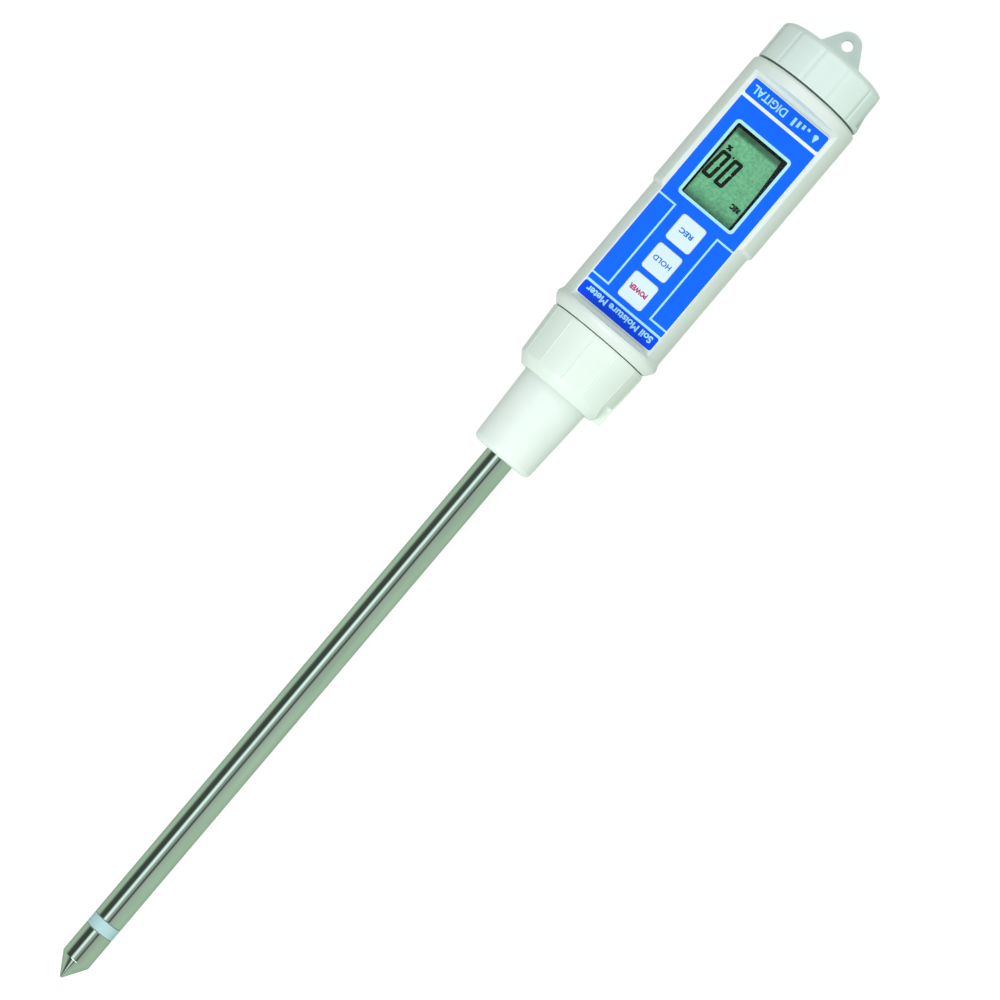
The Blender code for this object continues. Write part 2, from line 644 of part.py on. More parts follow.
def make_carrier(parts, tools):
    """The tray that holds the batteries and the board, kept in place by the cap."""
    shelf = (1.0, 2.2)
    carrier = box("battery_carrier", (CARRIER_START, CARRIER_END), (-12.0, 12.0), shelf,
                  ((0.12, 0.12, 0.13), 0.55), parts)
    blocks = []
    for side in (-1, 1):
        name = "carrier_wall_right" if side < 0 else "carrier_wall_left"
        blocks.append(box(name, (CARRIER_START, UPPER_NECK_END - 0.2), (side * 11.5, side * 12.6),
                          (-4.5, 2.2), None, tools))
    blocks.append(box("carrier_rib", (CARRIER_START, CARRIER_END), (-0.3, 0.3), (-8.0, 1.6), None, tools))
    ends = (("carrier_low_end", CARRIER_START), ("carrier_high_end", CARRIER_END - 1.2))
    for name, start in ends:
        blocks.append(box(name, (start, start + 1.2), (-12.0, 12.0), (-4.4, 1.8), None, tools))
        blocks.append(box(name + "_foot", (start, start + 1.2), (-10.0, 10.0), (-9.0, -4.0), None, tools))
    for index, (station, side) in enumerate(screw_places()):
        blocks.append(post("carrier_boss_%d" % index, station, side, (1.4, 2.7), 2.0, None, tools))
    for block in blocks:
        combine(carrier, block, "UNION")
    for index, (station, side) in enumerate(screw_places()):
        combine(carrier, post("boss_hole_%d" % index, station, side, (0.2, 3.5), 1.25, None, tools,
                              sides=12), "DIFFERENCE")
    for name, side in (("lead_hole_right", -8.2), ("lead_hole_left", 8.2)):
        combine(carrier, box(name, (260.0, 262.8), (side - 1, side + 1), (-3.6, -1.6), None, tools),
                "DIFFERENCE")


def battery_outline(start):
    end = start + BATTERY_LENGTH
    nub_start = end - 1.0
    return [(end, 0.0), (end, 1.9), (nub_start, 1.9), (nub_start, 4.6), (nub_start - 0.5, BATTERY_RADIUS),
            (start + 0.4, BATTERY_RADIUS), (start, 4.7), (start, 0.0)]


def reversed_battery_outline(start):
    total = 2 * start + BATTERY_LENGTH
    return [(total - station, radius) for station, radius in reversed(battery_outline(start))]


def make_batteries(parts):
    """Two rows of two, nose up on the left and nose down on the right."""
    shell = ((0.05, 0.12, 0.10), 0.35)
    number = 1
    for side, outline in ((BATTERY_ROW, battery_outline), (-BATTERY_ROW, reversed_battery_outline)):
        for place in range(2):
            start = BATTERY_START + place * (BATTERY_LENGTH + GAP)
            turned("battery_%d" % number, outline(start), shell, parts, sides=SMALL_SIDES, side=side,
                   level=BATTERY_HEIGHT)
            number += 1


def coil_route(start, end, side, turns, wide, narrow):
    """A cone-shaped coil from start to end."""
    steps = 10 * turns
    route = []
    for step in range(steps + 1):
        part = step / steps
        angle = 2 * math.pi * turns * part
        radius = wide + (narrow - wide) * part
        route.append((start + (end - start) * part, side + radius * math.cos(angle),
                      BATTERY_HEIGHT + radius * math.sin(angle)))
    return route


def make_contacts(parts):
    spring_steel = ((0.65, 0.65, 0.62), 0.25, 1.0)
    rows_end = BATTERY_START + 2 * BATTERY_LENGTH + GAP
    low_face = CARRIER_START + 1.2
    wire("lower_contact_spring", coil_route(low_face + 0.5, BATTERY_START - 0.5, BATTERY_ROW, 2, 3.2, 2.0),
         0.22, spring_steel, parts)
    wire("upper_contact_spring", coil_route(rows_end + 0.72, rows_end + 0.4, -BATTERY_ROW, 1, 2.6, 1.6),
         0.1, spring_steel, parts)
    box("lower_contact_plate", (low_face + 0.3, low_face + 0.7), (-BATTERY_ROW - 3.5, -BATTERY_ROW + 3.5),
        (-8.0, -1.2), spring_steel, parts)


def main():
    clear_scene()
    parts = make_collection("soil_moisture_meter")
    tools = make_collection("cutters")
    make_housing(parts, tools)
    make_battery_cap(parts, tools)
    make_cap_gasket(parts)
    make_coupling_nut(parts, tools)
    make_slip_washer(parts)
    make_probe_holder(parts)
    make_probe(parts)
    make_o_ring(parts)
    make_leads(parts)
    make_label(parts)
    make_display(parts)
    for name, station in KEY_STATIONS.items():
        make_key(name, station, parts, tools)
    make_board(parts, tools)
    make_carrier(parts, tools)
    make_batteries(parts)
    make_contacts(parts)


main()
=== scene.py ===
import math

import bmesh
import bpy
from mathutils import Matrix, Vector


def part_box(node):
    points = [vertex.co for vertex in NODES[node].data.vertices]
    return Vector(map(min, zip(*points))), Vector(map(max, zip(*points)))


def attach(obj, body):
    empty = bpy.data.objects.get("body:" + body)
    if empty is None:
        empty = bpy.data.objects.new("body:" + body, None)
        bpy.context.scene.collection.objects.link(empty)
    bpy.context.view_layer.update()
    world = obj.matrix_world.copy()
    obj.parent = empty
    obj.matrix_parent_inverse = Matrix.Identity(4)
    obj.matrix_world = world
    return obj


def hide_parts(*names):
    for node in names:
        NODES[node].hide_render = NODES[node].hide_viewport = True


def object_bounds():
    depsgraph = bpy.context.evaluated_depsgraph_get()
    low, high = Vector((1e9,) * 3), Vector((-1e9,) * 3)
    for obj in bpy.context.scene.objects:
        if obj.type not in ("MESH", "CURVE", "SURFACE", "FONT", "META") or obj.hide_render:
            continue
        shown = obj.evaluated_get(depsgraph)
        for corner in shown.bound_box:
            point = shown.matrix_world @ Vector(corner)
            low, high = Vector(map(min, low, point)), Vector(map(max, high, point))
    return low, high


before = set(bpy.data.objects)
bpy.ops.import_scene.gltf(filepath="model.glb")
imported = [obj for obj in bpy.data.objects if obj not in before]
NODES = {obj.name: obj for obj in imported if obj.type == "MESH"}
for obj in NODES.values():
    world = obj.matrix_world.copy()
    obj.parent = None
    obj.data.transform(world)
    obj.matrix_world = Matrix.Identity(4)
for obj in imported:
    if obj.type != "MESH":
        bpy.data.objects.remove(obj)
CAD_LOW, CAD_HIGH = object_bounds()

MM = 0.001
TUBE_LOW, TUBE_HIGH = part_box("probe_tube")
AXIS = (TUBE_LOW.z + TUBE_HIGH.z) / 2
TIP = CAD_LOW.x


def station_of(x):
    return (x - TIP) / MM


def level_of(z):
    return (z - AXIS) / MM


def at(station, side, level):
    return Vector((TIP + station * MM, side * MM, AXIS + level * MM))


# Places read from the CAD frame
LABEL_LOW, LABEL_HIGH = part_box("label_overlay")
LABEL_TOP = level_of(LABEL_HIGH.z)
LABEL_BASE = level_of(LABEL_LOW.z)
PLATEAU = LABEL_BASE - 0.05            # the flat front of the handle, under the label
LABEL_START = station_of(LABEL_LOW.x)
LABEL_END = station_of(LABEL_HIGH.x)
LABEL_HALF = LABEL_HIGH.y / MM
PLATEAU_START = LABEL_START - 1.6
PLATEAU_END = LABEL_END + 1.6
TUBE_RADIUS = TUBE_HIGH.y / MM
GLASS_TOP = level_of(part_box("display_glass")[1].z)
PANE_LEVELS = tuple(level_of(corner.z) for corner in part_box("display_window"))
WINDOW = (station_of(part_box("display_window")[0].x) + 0.3,
          station_of(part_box("display_window")[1].x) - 0.3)
WINDOW_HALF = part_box("display_window")[1].y / MM - 0.3
CAP_START = station_of(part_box("battery_cap")[0].x)
NUT_START = station_of(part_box("coupling_nut")[0].x)
NUT_END = station_of(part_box("coupling_nut")[1].x)

# Sizes of the finished shapes
GRIP_RADIUS = 18.7
DISPLAY_RADIUS = 19.63
FLAT_BACK = 19.2             # the level below the axis on which the handle rests
COLLAR_END = 262.0
DISPLAY_STRETCH = (302.5, 351.2)
WALL = 2.0
PITCH = 3.5
CAP_THREAD = 355.1           # where the ridge on the upper neck starts
NUT_THREAD = 244.4           # where the ridge on the lower neck starts
CAP_END = 366.2
CAP_RADIUS = 19.46           # the outer limit for the cap's flats
FACETS = 12
FACET_ANGLE = 360.0 / FACETS
FACET_GROOVE = (0.75, 0.26)  # half its width in degrees, and its depth
FACET_SHARP = 18.0           # an edge bent more than this many degrees stays sharp
FLATNESS = 0.35              # how far a facet goes from a round crown towards a true flat
CROWN = 1.02                 # the round crown's radius for each unit of apothem
EDGE = 0.12                  # the chamfer on the probe's steel and its ring
KEY_CORNER = 1.05
KEY_HALF = (4.68, 4.64)      # half the length and width of a key's top
NO_FLAT = 1000.0             # a flat so far out that it cuts nothing


# Mesh helpers

def smooth_minimum(first, second, width):
    """The lower of two values, with the corner between them rounded over the width."""
    overlap = max(width - abs(first - second), 0.0) / width
    return min(first, second) - overlap * overlap * width / 4


def new_object(name, work, sharp=30.0):
    bmesh.ops.recalc_face_normals(work, faces=work.faces)
    mesh = bpy.data.meshes.new(name)
    work.to_mesh(mesh)
    work.free()
    mesh.shade_smooth()
    mesh.set_sharp_from_angle(angle=math.radians(sharp))
    obj = bpy.data.objects.new(name, mesh)
    bpy.context.scene.collection.objects.link(obj)
    return obj


def join_loops(work, loops, closed=False):
    """Faces from each loop of vertices to the next, and back to the first or over both ends."""
    pairs = list(zip(loops, loops[1:]))
    if closed:
        pairs.append((loops[-1], loops[0]))
    for low, high in pairs:
        for here in range(len(low)):
            there = (here + 1) % len(low)
            work.faces.new((low[here], low[there], high[there], high[here]))
    if not closed:
        work.faces.new(loops[0])
        work.faces.new(list(reversed(loops[-1])))


def loft(name, rings, angles, closed=False, sharp=30.0):
    """Rings of (station, radii), one radius an angle, joined in order round the axis."""
    work = bmesh.new()
    loops = []
    for station, radii in rings:
        loop = []
        for angle, radius in zip(angles, radii):
            turn = math.radians(angle)
            loop.append(work.verts.new(at(station, -radius * math.sin(turn), radius * math.cos(turn))))
        loops.append(loop)
    join_loops(work, loops, closed)
    return new_object(name, work, sharp)


def round_rings(angles, profile):
    """A round ring at each (station, radius) point."""
    return [(station, [radius] * len(angles)) for station, radius in profile]


def turned(name, profile, closed=False, sharp=30.0):
    """A round piece from a profile of (station, radius) points."""
    sides = 128
    angles = [360.0 * step / sides for step in range(sides)]
    return loft(name, round_rings(angles, profile), angles, closed, sharp)


def arc(centre, radius, start, end, steps):
    points = []
    for step in range(steps + 1):
        turn = math.radians(start + (end - start) * step / steps)
        points.append((centre[0] + radius * math.cos(turn), centre[1] + radius * math.sin(turn)))
    return points


def rounded_rectangle(stations, sides, corner):
    """An outline of (station, side) points."""
    steps = 6
    (low, high), (near, far) = stations, sides
    outline = []
    for station, side, start in ((high - corner, far - corner, 0), (low + corner, far - corner, 90),
                                 (low + corner, near + corner, 180), (high - corner, near + corner, 270)):
        outline += arc((station, side), corner, start, start + 90, steps)
    return outline


def window_outline(margin, corner):
    return rounded_rectangle((WINDOW[0] - margin, WINDOW[1] + margin),
                             (-WINDOW_HALF - margin, WINDOW_HALF + margin), corner)


def key_outline(station, half_length, half_width, corner):
    return rounded_rectangle((station - half_length, station + half_length), (-half_width, half_width),
                             corner)


def mesh_of(obj, name):
    """Turn a curve or text into a welded mesh object."""
    bpy.context.view_layer.update()
    graph = bpy.context.evaluated_depsgraph_get()
    mesh = bpy.data.meshes.new_from_object(obj.evaluated_get(graph))
    work = bmesh.new()
    work.from_mesh(mesh)
    bmesh.ops.transform(work, matrix=obj.matrix_world, verts=work.verts)
    bpy.data.objects.remove(obj)
    bmesh.ops.remove_doubles(work, verts=work.verts, dist=0.0000005)
    return new_object(name, work)


def plate(name, outlines, levels):
    """Flat closed outlines of (station, side) points with their holes, between two levels."""
    curve = bpy.data.curves.new(name, "CURVE")
    curve.dimensions = "2D"
    curve.fill_mode = "BOTH"
    curve.extrude = abs(levels[1] - levels[0]) / 2
    for outline in outlines:
        spline = curve.splines.new("POLY")
        spline.points.add(len(outline) - 1)
        for point, (station, side) in zip(spline.points, outline):
            point.co = (station, side, 0.0, 1.0)
        spline.use_cyclic_u = True
    obj = bpy.data.objects.new(name + "_curve", curve)
    bpy.context.scene.collection.objects.link(obj)
    obj.matrix_world = Matrix.Translation(at(0.0, 0.0, sum(levels) / 2)) @ Matrix.Scale(MM, 4)
    return mesh_of(obj, name)


def block(name, stations, sides, levels, rounding):
    """A box with rounded edges."""
    work = bmesh.new()
    low, high = at(stations[0], sides[0], levels[0]), at(stations[1], sides[1], levels[1])
    size = Matrix.Diagonal((*(high - low), 1.0))
    bmesh.ops.create_cube(work, size=1.0, matrix=Matrix.Translation((low + high) / 2) @ size)
    bmesh.ops.bevel(work, geom=work.edges[:], offset=rounding * MM, segments=5, profile=0.5,
                    affect="EDGES")
    return new_object(name, work)


def combine(target, tool, operation, sharp=30.0):
    """Cut a piece by a tool, or join the tool to it, and use the tool up."""
    boolean = target.modifiers.new("combine", "BOOLEAN")
    boolean.operation = operation
    boolean.solver = "EXACT"
    boolean.object = tool
    bpy.context.view_layer.update()
    graph = bpy.context.evaluated_depsgraph_get()
    mesh = bpy.data.meshes.new_from_object(target.evaluated_get(graph))
    target.modifiers.remove(boolean)
    bpy.data.objects.remove(tool)
    target.data = mesh
    mesh.shade_smooth()
    mesh.set_sharp_from_angle(angle=math.radians(sharp))


def soften(obj, width):
    """Round the sharp edges a little, and keep the flat faces flat."""
    bevel = obj.modifiers.new("edges", "BEVEL")
    bevel.width = width * MM
    bevel.segments = 3
    bevel.limit_method = "ANGLE"
    bevel.angle_limit = math.radians(40.0)
    bevel.use_clamp_overlap = True
    flat = obj.modifiers.new("flat", "WEIGHTED_NORMAL")
    flat.keep_sharp = True


def thread(first_station, turns, root, crest):
    """A right-hand ridge with tapered ends, from the root radius to the crest."""
    steps_a_turn, taper = 48, 8
    steps = round(turns * steps_a_turn)
    work = bmesh.new()
    sections = []
    for step in range(steps + 1):
        angle = math.radians(360.0 / steps_a_turn * step)
        station = first_station + PITCH * step / steps_a_turn
        share = min(1.0, step / taper, (steps - step) / taper)
        top = root + (crest - root) * (0.3 + 0.7 * share)
        corners = ((root, -0.65), (top, -0.4), (top, 0.4), (root, 0.65))
        sections.append([work.verts.new(at(station + offset, radius * math.sin(angle),
                                           -radius * math.cos(angle)))
                         for radius, offset in corners])
    join_loops(work, sections)
    return new_object("thread", work)


# Material helpers

def srgb(red, green, blue):
    """A colour given as a painter's 0 to 255 values, in linear light."""
    linear = []
    for value in (red, green, blue):
        value /= 255
        linear.append(value / 12.92 if value <= 0.04045 else ((value + 0.055) / 1.055) ** 2.4)
    return tuple(linear)


class Surface:
    """A material whose colour, roughness and relief come from noise."""

    def __init__(self, name, colour, roughness, metallic=0.0):
        self.material = bpy.data.materials.new(name)
        self.material.use_nodes = True
        self.tree = self.material.node_tree
        self.shader = self.tree.nodes["Principled BSDF"]
        self.shader.inputs["Base Color"].default_value = (*colour, 1.0)
        self.shader.inputs["Roughness"].default_value = roughness
        self.shader.inputs["Metallic"].default_value = metallic
        self.colour = colour
        self.roughness = roughness
        self.place = self.tree.nodes.new("ShaderNodeTexCoord").outputs["Object"]

    def noise(self, scale, detail=3.0, stretch=(1.0, 1.0, 1.0), rough=0.5):
        """Noise with features about 1000 / scale millimetres across."""
        mapping = self.tree.nodes.new("ShaderNodeMapping")
        mapping.inputs["Scale"].default_value = stretch
        self.tree.links.new(self.place, mapping.inputs["Vector"])
        noise = self.tree.nodes.new("ShaderNodeTexNoise")
        noise.inputs["Scale"].default_value = scale
        noise.inputs["Detail"].default_value = detail
        noise.inputs["Roughness"].default_value = rough
        self.tree.links.new(mapping.outputs["Vector"], noise.inputs["Vector"])
        return noise.outputs["Fac"]

    def spread(self, value, low, high):
        """Noise is mostly between 0.3 and 0.7; spread that over low to high."""
        spread = self.tree.nodes.new("ShaderNodeMapRange")
        spread.inputs["From Min"].default_value = 0.3
        spread.inputs["From Max"].default_value = 0.7
        spread.inputs["To Min"].default_value = low
        spread.inputs["To Max"].default_value = high
        self.tree.links.new(value, spread.inputs["Value"])
        return spread.outputs["Result"]

    def vary_colour(self, value, other, low=0.0):
        """Drift from the colour towards another one."""
        mix = self.tree.nodes.new("ShaderNodeMix")
        mix.data_type = "RGBA"
        mix.inputs["A"].default_value = (*self.colour, 1.0)
        mix.inputs["B"].default_value = (*other, 1.0)
        self.tree.links.new(self.spread(value, low, 1.0), mix.inputs["Factor"])
        self.tree.links.new(mix.outputs["Result"], self.shader.inputs["Base Color"])
        return self

    def paint_end_shadows(self, ends, blotches):
        """Paint shadow: darken the colour from each start to its finish, with blotches along the way."""
        parts = self.tree.nodes.new("ShaderNodeSeparateXYZ")
        self.tree.links.new(self.place, parts.inputs["Vector"])
        for start, finish, depth in ends:
            ramp = self.tree.nodes.new("ShaderNodeMapRange")
            ramp.interpolation_type = "SMOOTHSTEP"
            ramp.inputs["From Min"].default_value = at(start, 0.0, 0.0).x
            ramp.inputs["From Max"].default_value = at(finish, 0.0, 0.0).x
            ramp.inputs["To Max"].default_value = depth
            self.tree.links.new(parts.outputs["X"], ramp.inputs["Value"])
            share = self.tree.nodes.new("ShaderNodeMath")
            share.operation = "ADD"
            share.use_clamp = True
            self.tree.links.new(ramp.outputs["Result"], share.inputs[0])
            self.tree.links.new(blotches, share.inputs[1])
            mix = self.tree.nodes.new("ShaderNodeMix")
            mix.data_type = "RGBA"
            mix.inputs["B"].default_value = (*scaled(self.colour, 0.2), 1.0)
            self.tree.links.new(share.outputs["Value"], mix.inputs["Factor"])
            colour = self.shader.inputs["Base Color"].links[0].from_socket
            self.tree.links.new(colour, mix.inputs["A"])
            self.tree.links.new(mix.outputs["Result"], self.shader.inputs["Base Color"])
        return self

    def vary_roughness(self, value, amount):
        result = self.spread(value, self.roughness - amount, self.roughness + amount)
        self.tree.links.new(result, self.shader.inputs["Roughness"])
        return self

    def relief(self, value, depth):
        """Bump of a depth in millimetres."""
        bump = self.tree.nodes.new("ShaderNodeBump")
        bump.inputs["Distance"].default_value = depth * MM
        self.tree.links.new(value, bump.inputs["Height"])
        self.tree.links.new(bump.outputs["Normal"], self.shader.inputs["Normal"])
        return self

    def set(self, **sockets):
        for name, value in sockets.items():
            self.shader.inputs[name.replace("_", " ")].default_value = value
        return self


def scaled(colour, factor):
    return tuple(min(1.0, channel * factor) for channel in colour)


def moulded_plastic(name, colour, roughness=0.38):
    """Injection-moulded ABS: a faint orange peel, fine grain, and slow drift in colour."""
    surface = Surface(name, colour, roughness)
    surface.vary_colour(surface.noise(60.0, 4.0), scaled(colour, 0.95))
    surface.vary_roughness(surface.noise(900.0, 3.0), 0.05)
    surface.relief(surface.noise(1600.0, 3.0), 0.012)
    return surface.set(IOR=1.48).material


def printed_film(name, colour):
    """Ink on a polycarbonate overlay: even colour, a slightly pebbled gloss."""
    surface = Surface(name, colour, 0.32)
    surface.vary_colour(surface.noise(140.0, 5.0), scaled(colour, 0.9))
    surface.vary_roughness(surface.noise(1200.0, 2.0), 0.04)
    surface.relief(surface.noise(2600.0, 2.0), 0.004)
    return surface.set(Specular_IOR_Level=0.12).material


def ink(name, colour):
    surface = Surface(name, colour, 0.4)
    surface.vary_colour(surface.noise(2500.0, 2.0), scaled(colour, 0.85))
    surface.relief(surface.noise(5000.0, 2.0), 0.003)
    return surface.set(Specular_IOR_Level=0.12).material


def polished_steel(name, colour, roughness):
    """Drawn and polished steel with fine scratches along it and faint ones round it."""
    surface = Surface(name, colour, roughness, 1.0)
    along = surface.noise(1400.0, 4.0, (0.02, 1.0, 1.0), 0.7)
    around = surface.noise(2200.0, 3.0, (1.0, 0.04, 0.04), 0.6)
    surface.vary_colour(surface.noise(220.0, 5.0, (0.15, 1.0, 1.0)), scaled(colour, 0.86))
    surface.vary_roughness(along, 0.05)
    surface.relief(around, 0.0022)
    return surface.set(Specular_Tint=(0.6, 0.66, 0.6, 1.0)).material


def clear_plastic(name):
    surface = Surface(name, (0.97, 1.0, 0.98), 0.04)
    surface.vary_roughness(surface.noise(500.0, 3.0), 0.02)
    surface.relief(surface.noise(150.0, 2.0), 0.002)
    return surface.set(Transmission_Weight=1.0, IOR=1.2).material


def liquid_crystal(name, colour):
    """The grey-green cell, with the speckle of its reflector and painted shadow at both ends, where the
    window's edges shade it.
    """
    surface = Surface(name, colour, 0.42)
    surface.vary_colour(surface.noise(850.0, 5.0, rough=0.9), scaled(colour, 0.5), -0.3)
    blotches = surface.spread(surface.noise(420.0, 3.0), -0.1, 0.1)
    # painted shadow: darker over the last few millimetres at the cap end and the probe end of the window
    ends = [(WINDOW[1] - 3.5, WINDOW[1] - 2.1, 0.86), (WINDOW[0] + 5.5, WINDOW[0], 0.42)]
    surface.paint_end_shadows(ends, blotches)
    surface.vary_roughness(surface.noise(700.0, 2.0), 0.05)
    surface.relief(surface.noise(2000.0, 2.0), 0.002)
    return surface.set(Specular_IOR_Level=0.1).material


def plain_part(name, colour, roughness, metallic):
    """A part inside the handle."""
    surface = Surface(name, colour, roughness, metallic)
    surface.vary_colour(surface.noise(500.0, 4.0), scaled(colour, 0.8))
    surface.vary_roughness(surface.noise(800.0, 3.0), 0.06)
    surface.relief(surface.noise(1500.0, 3.0), 0.01)
    return surface.material


LOOKS = {
    "housing": moulded_plastic("housing_plastic", srgb(221, 233, 226)),
    # painted shade: the same plastic as the nut, darker to stand in for the dimmer light at the cap end
    "cap": moulded_plastic("cap_plastic_painted_shade", srgb(215, 232, 225)),
    "nut": moulded_plastic("nut_plastic", srgb(226, 240, 230)),
    "boss": moulded_plastic("boss_plastic", srgb(229, 241, 234), 0.34),
    "key": moulded_plastic("key_plastic", srgb(212, 235, 240), 0.42),
    "ring": moulded_plastic("ring_plastic", srgb(170, 206, 207), 0.45),
    "film": printed_film("label_white", srgb(229, 240, 241)),
    "blue": printed_film("label_blue", srgb(14, 104, 252)),
    "deep_blue": printed_film("label_deep_blue", srgb(6, 74, 244)),
    "line": printed_film("label_lines", srgb(165, 228, 255)),
    "border": printed_film("window_border", srgb(170, 232, 240)),
    "red_ink": ink("red_ink", srgb(186, 8, 110)),
    "blue_ink": ink("blue_ink", srgb(14, 124, 214)),
    "segment": ink("display_segments", srgb(14, 22, 18)),
    # the dark frame under the pane, part black border and part painted shadow
    "mask_and_shadow": ink("display_mask_and_shadow", srgb(16, 20, 18)),
    "steel": polished_steel("probe_steel", (0.56, 0.73, 0.60), 0.11),
    "tip": polished_steel("tip_steel", (0.56, 0.71, 0.58), 0.13),
    "pane": clear_plastic("window_clear"),
    "glass": liquid_crystal("display_cell", srgb(132, 212, 164)),
}


def dress(obj, look, body, slot, *replaced):
    """Give a finished piece its material and its body, and hide the nodes it stands for; slot is not used.
    """
    obj.data.materials.clear()
    obj.data.materials.append(LOOKS[look])
    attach(obj, body)
    if replaced:
        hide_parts(*replaced)


# Handle

def plateau_level(station):
    """The level of the flat front at a station; its end walls lean out."""
    low_rise, high_rise = 12.5, 40.0
    return PLATEAU + max((PLATEAU_START - station) * low_rise, (station - PLATEAU_END) * high_rise, 0.0)


def section(angles, radius, front, back, corner):
    """The radii of a circle cut by a flat front and a flat back."""
    radii = []
    for angle in angles:
        slope = math.cos(math.radians(angle))
        reach = radius
        if slope > 0.05:
            reach = smooth_minimum(reach, front / slope, corner)
        if slope < -0.05:
            reach = smooth_minimum(reach, back / -slope, corner)
        radii.append(reach)
    return radii


# The handle's outer profile of (station, radius) points, from the collar to the shoulder
OUTER = [(254.5, 17.15), (254.6, 17.4), (254.85, 17.62), (255.7, 18.35), (256.5, 18.98), (257.1, 19.3),
         (257.7, 19.44), (258.2, 19.4), (258.8, 19.26), (259.4, 19.0), (259.8, 18.8), (260.2, GRIP_RADIUS),
         (301.6, GRIP_RADIUS), (301.9, 18.75), (302.3, 18.98), (302.8, 19.4), (303.1, 19.57),
         (303.5, DISPLAY_RADIUS), (350.1, DISPLAY_RADIUS), (350.6, 19.58), (351.0, 19.4), (351.35, 19.1),
         (351.6, 18.75), (351.7, 18.4)]


def outer_radius(station):
    for (low, low_radius), (high, high_radius) in zip(OUTER, OUTER[1:]):
        if station <= high:
            return low_radius + (high_radius - low_radius) * (station - low) / (high - low)
    return OUTER[-1][1]


def outer_stations():
    """The profile's own stations, even ones on the grip, and close ones at the collar and walls."""
    stations = {station for station, radius in OUTER}
    stations |= {264.0 + 8.0 * count for count in range(11)}
    stations |= {255.0 + 0.2 * count for count in range(26)}
    stations |= {PLATEAU_START - 0.05 * count for count in range(15)}
    stations |= {PLATEAU_END + 0.02 * count for count in range(12)}
    return sorted({round(station, 3) for station in stations})


def handle_rings(angles):
    """From the lower neck's end along the outside to the upper neck, and back inside."""
    lower_neck = [(240.4, 13.0), (240.8, 13.4), (242.2, 13.4), (242.6, 13.7), (254.5, 13.7)]
    rings = round_rings(angles, lower_neck)
    for station in outer_stations():
        rests = station < COLLAR_END or DISPLAY_STRETCH[0] < station < DISPLAY_STRETCH[1]
        back = FLAT_BACK if rests else NO_FLAT
        rings.append((station, section(angles, outer_radius(station), plateau_level(station), back, 0.45)))
    upper_neck = [(351.7, 15.6), (361.9, 15.6), (362.3, 15.2), (362.3, 14.4), (350.6, 14.4)]
    rings += round_rings(angles, upper_neck)
    inner = DISPLAY_RADIUS - WALL
    grip_inner = GRIP_RADIUS - WALL
    hollow = [(349.0, inner), (305.0, inner), (303.8, grip_inner), (262.5, grip_inner), (259.0, 13.0)]
    for station, radius in hollow:
        rings.append((station, section(angles, radius, PLATEAU - WALL, NO_FLAT, 0.3)))
    return rings + round_rings(angles, [(257.0, 12.0), (240.4, 12.0)])


def handle_angles():
    """Every two degrees, and closer at the edges of the flat front and back."""
    angles = [2.0 * step for step in range(180)]
    for middle in (54.0, 306.0):
        angles += [middle - 7.0 + 0.5 * step for step in range(29)]
    for middle in (168.0, 192.0):
        angles += [middle - 4.0 + 0.5 * step for step in range(17)]
    return sorted(set(angles))


def key_stations():
    stations = {}
    for key in ("power", "hold", "record"):
        low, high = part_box(key + "_button")
        stations[key] = (station_of(low.x) + station_of(high.x)) / 2
    return stations


KEYS = key_stations()


def make_handle():
    angles = handle_angles()
    shell = loft("handle_shell", handle_rings(angles), angles, closed=True)
    through = (7.0, 14.0)
    combine(shell, plate("window_hole", [window_outline(0.6, 0.8)], through), "DIFFERENCE")
    for station in KEYS.values():
        outline = key_outline(station, 5.0, 4.95, 1.0)
        combine(shell, plate("key_hole", [outline], through), "DIFFERENCE")
    combine(shell, thread(CAP_THREAD, 1.5, 15.3, 16.35), "UNION")
    combine(shell, thread(NUT_THREAD, 1.5, 13.4, 14.5), "UNION")
    dress(shell, "housing", "handle", "housing_plastic", "housing")


# Battery cap and coupling nut

def facet_angles(first_edge):
    """Angles round the facets, with three close together at each edge between two of them."""
    width = FACET_GROOVE[0]
    return [first_edge + FACET_ANGLE * facet + offset for facet in range(FACETS)
            for offset in (-width, 0.0, width, 5.0, 10.0, 15.0, 20.0, 25.0)]


def facet_radii(angles, radius, apothem):
    """A circle cut by crowned facets, with a fine groove along each edge."""
    radii = []
    for angle in angles:
        from_edge = (angle - angles[1]) % FACET_ANGLE
        flat = apothem / math.cos(math.radians(from_edge - FACET_ANGLE / 2))
        crowned = FLATNESS * flat + (1 - FLATNESS) * CROWN * apothem
        if min(from_edge, FACET_ANGLE - from_edge) < 0.01:
            crowned -= FACET_GROOVE[1]
        radii.append(min(radius, crowned))
    return radii


def make_cap():
    angles = facet_angles(-10.0)
    apothem, bore, corner = 18.8, 16.7, 3.4
    outer = [(CAP_START, 18.85), (CAP_START + 0.08, 19.0), (CAP_START + 0.3, CAP_RADIUS),
             (CAP_START + 1.4, CAP_RADIUS), (CAP_END - corner - 0.6, CAP_RADIUS)]
    outer += arc((CAP_END - corner, CAP_RADIUS - corner), corner, 90, 0, 14)
    rings = round_rings(angles, [(363.9, bore), (CAP_START + 0.3, bore), (CAP_START, bore + 0.3)])
    rings += [(station, facet_radii(angles, radius, apothem)) for station, radius in outer]
    cap = loft("battery_cap_shell", rings, angles, sharp=FACET_SHARP)
    recess = block("recess", (CAP_START + 1.4, CAP_END + 3), (-25, -17.75), (-7.5, 9.0), 0.35)
    combine(cap, recess, "DIFFERENCE", FACET_SHARP)
    rib = [(363.0, -17.2), (363.0, -17.9), (358.5, -18.1), (353.8, -18.95), (353.3, -19.05),
           (352.95, -18.9), (352.9, -17.2)]
    combine(cap, plate("rib", [rib], (-2.0, -0.8)), "UNION", FACET_SHARP)
    combine(cap, lug(), "UNION", FACET_SHARP)
    combine(cap, thread(CAP_THREAD - PITCH / 2, 1.0, 16.9, 16.05), "UNION", FACET_SHARP)
    dress(cap, "cap", "battery_cap", "nut_plastic", "battery_cap")


